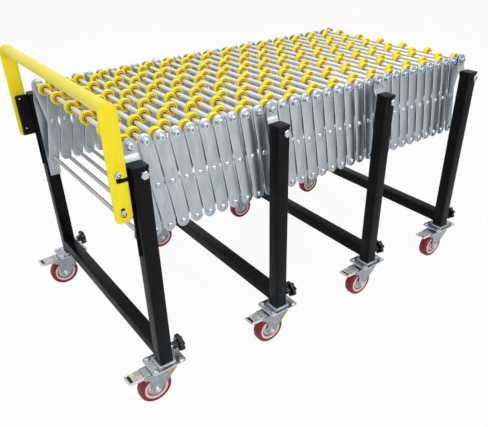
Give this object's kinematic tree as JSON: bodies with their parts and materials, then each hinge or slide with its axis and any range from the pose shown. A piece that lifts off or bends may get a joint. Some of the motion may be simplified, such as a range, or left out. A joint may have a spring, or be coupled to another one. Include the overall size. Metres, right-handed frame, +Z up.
{
  "type": "flexible roller conveyor",
  "caption": "Expandable skate-wheel conveyor: scissor lattice sides, rows of yellow wheels, black legs with swivel casters and a yellow end handle.",
  "frame": {"origin": "on the floor, below the middle of the whole machine's bounding box", "axes": "+X from the handle end to the rear end, +Y from the side nearest the viewer to the far side, +Z up"},
  "size_m": [1.423, 0.813, 0.877],
  "materials": {
    "leg_powder_coat": "satin black powder coat",
    "handle_paint": "gloss yellow powder coat",
    "zinc_strip": "bright zinc plate",
    "axle_steel": "pale zinc plate",
    "bolt_zinc": "bright zinc plate",
    "knob_plastic": "moulded black plastic",
    "wheel_plastic": "moulded yellow plastic",
    "caster_zinc": "zinc plate with a yellow passivated crown",
    "tyre_red": "dark red polyurethane"
  },
  "bodies": {
    "base": {"leg_frames": "leg_powder_coat", "handle": "handle_paint", "outer_links": "zinc_strip", "inner_links": "zinc_strip", "top_axles": "axle_steel", "cross_rods": "axle_steel", "end_strips": "zinc_strip", "bolts": "bolt_zinc", "knobs": "knob_plastic"},
    "stems_1": {"leg_stems_1": "caster_zinc"},
    "stems_2": {"leg_stems_2": "caster_zinc"},
    "stems_3": {"leg_stems_3": "caster_zinc"},
    "stems_4": {"leg_stems_4": "caster_zinc"},
    "fork_1_near": {"caster_fork_1_near": "caster_zinc"},
    "fork_1_far": {"caster_fork_1_far": "caster_zinc"},
    "fork_2_near": {"caster_fork_2_near": "caster_zinc"},
    "fork_2_far": {"caster_fork_2_far": "caster_zinc"},
    "fork_3_near": {"caster_fork_3_near": "caster_zinc"},
    "fork_3_far": {"caster_fork_3_far": "caster_zinc"},
    "fork_4_near": {"caster_fork_4_near": "caster_zinc"},
    "fork_4_far": {"caster_fork_4_far": "caster_zinc"},
    "caster_1_near": {"caster_wheel_1_near": "tyre_red"},
    "caster_1_far": {"caster_wheel_1_far": "tyre_red"},
    "caster_2_near": {"caster_wheel_2_near": "tyre_red"},
    "caster_2_far": {"caster_wheel_2_far": "tyre_red"},
    "caster_3_near": {"caster_wheel_3_near": "tyre_red"},
    "caster_3_far": {"caster_wheel_3_far": "tyre_red"},
    "caster_4_near": {"caster_wheel_4_near": "tyre_red"},
    "caster_4_far": {"caster_wheel_4_far": "tyre_red"},
    "row_00": {"wheel_row_00": "wheel_plastic"},
    "row_01": {"wheel_row_01": "wheel_plastic"},
    "row_02": {"wheel_row_02": "wheel_plastic"},
    "row_03": {"wheel_row_03": "wheel_plastic"},
    "row_04": {"wheel_row_04": "wheel_plastic"},
    "row_05": {"wheel_row_05": "wheel_plastic"},
    "row_06": {"wheel_row_06": "wheel_plastic"},
    "row_07": {"wheel_row_07": "wheel_plastic"},
    "row_08": {"wheel_row_08": "wheel_plastic"},
    "row_09": {"wheel_row_09": "wheel_plastic"},
    "row_10": {"wheel_row_10": "wheel_plastic"},
    "row_11": {"wheel_row_11": "wheel_plastic"},
    "row_12": {"wheel_row_12": "wheel_plastic"},
    "row_13": {"wheel_row_13": "wheel_plastic"},
    "row_14": {"wheel_row_14": "wheel_plastic"},
    "row_15": {"wheel_row_15": "wheel_plastic"},
    "row_16": {"wheel_row_16": "wheel_plastic"},
    "row_17": {"wheel_row_17": "wheel_plastic"},
    "row_18": {"wheel_row_18": "wheel_plastic"},
    "row_19": {"wheel_row_19": "wheel_plastic"},
    "row_20": {"wheel_row_20": "wheel_plastic"},
    "row_21": {"wheel_row_21": "wheel_plastic"},
    "row_22": {"wheel_row_22": "wheel_plastic"},
    "row_23": {"wheel_row_23": "wheel_plastic"},
    "row_24": {"wheel_row_24": "wheel_plastic"},
    "row_25": {"wheel_row_25": "wheel_plastic"},
    "row_26": {"wheel_row_26": "wheel_plastic"},
    "row_27": {"wheel_row_27": "wheel_plastic"},
    "row_28": {"wheel_row_28": "wheel_plastic"},
    "row_29": {"wheel_row_29": "wheel_plastic"},
    "row_30": {"wheel_row_30": "wheel_plastic"}
  },
  "joints": [
    {"name": "leg_slide_1", "type": "slide", "parent": "base", "child": "stems_1", "axis": [0, 0, -1], "range_m": [0, 0.15]},
    {"name": "leg_slide_2", "type": "slide", "parent": "base", "child": "stems_2", "axis": [0, 0, -1], "range_m": [0, 0.15]},
    {"name": "leg_slide_3", "type": "slide", "parent": "base", "child": "stems_3", "axis": [0, 0, -1], "range_m": [0, 0.15]},
    {"name": "leg_slide_4", "type": "slide", "parent": "base", "child": "stems_4", "axis": [0, 0, -1], "range_m": [0, 0.15]},
    {"name": "swivel_1_near", "type": "hinge", "parent": "stems_1", "child": "fork_1_near", "pos_m": [-0.5915, -0.3665, 0.11], "axis": [0, 0, 1], "continuous": true},
    {"name": "swivel_1_far", "type": "hinge", "parent": "stems_1", "child": "fork_1_far", "pos_m": [-0.5915, 0.3665, 0.11], "axis": [0, 0, 1], "continuous": true},
    {"name": "swivel_2_near", "type": "hinge", "parent": "stems_2", "child": "fork_2_near", "pos_m": [-0.1775, -0.3665, 0.11], "axis": [0, 0, 1], "continuous": true},
    {"name": "swivel_2_far", "type": "hinge", "parent": "stems_2", "child": "fork_2_far", "pos_m": [-0.1775, 0.3665, 0.11], "axis": [0, 0, 1], "continuous": true},
    {"name": "swivel_3_near", "type": "hinge", "parent": "stems_3", "child": "fork_3_near", "pos_m": [0.2365, -0.3665, 0.11], "axis": [0, 0, 1], "continuous": true},
    {"name": "swivel_3_far", "type": "hinge", "parent": "stems_3", "child": "fork_3_far", "pos_m": [0.2365, 0.3665, 0.11], "axis": [0, 0, 1], "continuous": true},
    {"name": "swivel_4_near", "type": "hinge", "parent": "stems_4", "child": "fork_4_near", "pos_m": [0.6505, -0.3665, 0.11], "axis": [0, 0, 1], "continuous": true},
    {"name": "swivel_4_far", "type": "hinge", "parent": "stems_4", "child": "fork_4_far", "pos_m": [0.6505, 0.3665, 0.11], "axis": [0, 0, 1], "continuous": true},
    {"name": "caster_spin_1_near", "type": "hinge", "parent": "fork_1_near", "child": "caster_1_near", "pos_m": [-0.6315, -0.3665, 0.05], "axis": [0, 1, 0], "continuous": true},
    {"name": "caster_spin_1_far", "type": "hinge", "parent": "fork_1_far", "child": "caster_1_far", "pos_m": [-0.6315, 0.3665, 0.05], "axis": [0, 1, 0], "continuous": true},
    {"name": "caster_spin_2_near", "type": "hinge", "parent": "fork_2_near", "child": "caster_2_near", "pos_m": [-0.2175, -0.3665, 0.05], "axis": [0, 1, 0], "continuous": true},
    {"name": "caster_spin_2_far", "type": "hinge", "parent": "fork_2_far", "child": "caster_2_far", "pos_m": [-0.2175, 0.3665, 0.05], "axis": [0, 1, 0], "continuous": true},
    {"name": "caster_spin_3_near", "type": "hinge", "parent": "fork_3_near", "child": "caster_3_near", "pos_m": [0.1965, -0.3665, 0.05], "axis": [0, 1, 0], "continuous": true},
    {"name": "caster_spin_3_far", "type": "hinge", "parent": "fork_3_far", "child": "caster_3_far", "pos_m": [0.1965, 0.3665, 0.05], "axis": [0, 1, 0], "continuous": true},
    {"name": "caster_spin_4_near", "type": "hinge", "parent": "fork_4_near", "child": "caster_4_near", "pos_m": [0.6105, -0.3665, 0.05], "axis": [0, 1, 0], "continuous": true},
    {"name": "caster_spin_4_far", "type": "hinge", "parent": "fork_4_far", "child": "caster_4_far", "pos_m": [0.6105, 0.3665, 0.05], "axis": [0, 1, 0], "continuous": true},
    {"name": "row_spin_00", "type": "hinge", "parent": "base", "child": "row_00", "pos_m": [-0.5865, 0, 0.755], "axis": [0, 1, 0], "continuous": true},
    {"name": "row_spin_01", "type": "hinge", "parent": "base", "child": "row_01", "pos_m": [-0.5451, 0, 0.755], "axis": [0, 1, 0], "continuous": true},
    {"name": "row_spin_02", "type": "hinge", "parent": "base", "child": "row_02", "pos_m": [-0.5037, 0, 0.755], "axis": [0, 1, 0], "continuous": true},
    {"name": "row_spin_03", "type": "hinge", "parent": "base", "child": "row_03", "pos_m": [-0.4623, 0, 0.755], "axis": [0, 1, 0], "continuous": true},
    {"name": "row_spin_04", "type": "hinge", "parent": "base", "child": "row_04", "pos_m": [-0.4209, 0, 0.755], "axis": [0, 1, 0], "continuous": true},
    {"name": "row_spin_05", "type": "hinge", "parent": "base", "child": "row_05", "pos_m": [-0.3795, 0, 0.755], "axis": [0, 1, 0], "continuous": true},
    {"name": "row_spin_06", "type": "hinge", "parent": "base", "child": "row_06", "pos_m": [-0.3381, 0, 0.755], "axis": [0, 1, 0], "continuous": true},
    {"name": "row_spin_07", "type": "hinge", "parent": "base", "child": "row_07", "pos_m": [-0.2967, 0, 0.755], "axis": [0, 1, 0], "continuous": true},
    {"name": "row_spin_08", "type": "hinge", "parent": "base", "child": "row_08", "pos_m": [-0.2553, 0, 0.755], "axis": [0, 1, 0], "continuous": true},
    {"name": "row_spin_09", "type": "hinge", "parent": "base", "child": "row_09", "pos_m": [-0.2139, 0, 0.755], "axis": [0, 1, 0], "continuous": true},
    {"name": "row_spin_10", "type": "hinge", "parent": "base", "child": "row_10", "pos_m": [-0.1725, 0, 0.755], "axis": [0, 1, 0], "continuous": true},
    {"name": "row_spin_11", "type": "hinge", "parent": "base", "child": "row_11", "pos_m": [-0.1311, 0, 0.755], "axis": [0, 1, 0], "continuous": true},
    {"name": "row_spin_12", "type": "hinge", "parent": "base", "child": "row_12", "pos_m": [-0.0897, 0, 0.755], "axis": [0, 1, 0], "continuous": true},
    {"name": "row_spin_13", "type": "hinge", "parent": "base", "child": "row_13", "pos_m": [-0.0483, 0, 0.755], "axis": [0, 1, 0], "continuous": true},
    {"name": "row_spin_14", "type": "hinge", "parent": "base", "child": "row_14", "pos_m": [-0.0069, 0, 0.755], "axis": [0, 1, 0], "continuous": true},
    {"name": "row_spin_15", "type": "hinge", "parent": "base", "child": "row_15", "pos_m": [0.0345, 0, 0.755], "axis": [0, 1, 0], "continuous": true},
    {"name": "row_spin_16", "type": "hinge", "parent": "base", "child": "row_16", "pos_m": [0.0759, 0, 0.755], "axis": [0, 1, 0], "continuous": true},
    {"name": "row_spin_17", "type": "hinge", "parent": "base", "child": "row_17", "pos_m": [0.1173, 0, 0.755], "axis": [0, 1, 0], "continuous": true},
    {"name": "row_spin_18", "type": "hinge", "parent": "base", "child": "row_18", "pos_m": [0.1587, 0, 0.755], "axis": [0, 1, 0], "continuous": true},
    {"name": "row_spin_19", "type": "hinge", "parent": "base", "child": "row_19", "pos_m": [0.2001, 0, 0.755], "axis": [0, 1, 0], "continuous": true},
    {"name": "row_spin_20", "type": "hinge", "parent": "base", "child": "row_20", "pos_m": [0.2415, 0, 0.755], "axis": [0, 1, 0], "continuous": true},
    {"name": "row_spin_21", "type": "hinge", "parent": "base", "child": "row_21", "pos_m": [0.2829, 0, 0.755], "axis": [0, 1, 0], "continuous": true},
    {"name": "row_spin_22", "type": "hinge", "parent": "base", "child": "row_22", "pos_m": [0.3243, 0, 0.755], "axis": [0, 1, 0], "continuous": true},
    {"name": "row_spin_23", "type": "hinge", "parent": "base", "child": "row_23", "pos_m": [0.3657, 0, 0.755], "axis": [0, 1, 0], "continuous": true},
    {"name": "row_spin_24", "type": "hinge", "parent": "base", "child": "row_24", "pos_m": [0.4071, 0, 0.755], "axis": [0, 1, 0], "continuous": true},
    {"name": "row_spin_25", "type": "hinge", "parent": "base", "child": "row_25", "pos_m": [0.4485, 0, 0.755], "axis": [0, 1, 0], "continuous": true},
    {"name": "row_spin_26", "type": "hinge", "parent": "base", "child": "row_26", "pos_m": [0.4899, 0, 0.755], "axis": [0, 1, 0], "continuous": true},
    {"name": "row_spin_27", "type": "hinge", "parent": "base", "child": "row_27", "pos_m": [0.5313, 0, 0.755], "axis": [0, 1, 0], "continuous": true},
    {"name": "row_spin_28", "type": "hinge", "parent": "base", "child": "row_28", "pos_m": [0.5727, 0, 0.755], "axis": [0, 1, 0], "continuous": true},
    {"name": "row_spin_29", "type": "hinge", "parent": "base", "child": "row_29", "pos_m": [0.6141, 0, 0.755], "axis": [0, 1, 0], "continuous": true},
    {"name": "row_spin_30", "type": "hinge", "parent": "base", "child": "row_30", "pos_m": [0.6555, 0, 0.755], "axis": [0, 1, 0], "continuous": true}
  ]
}
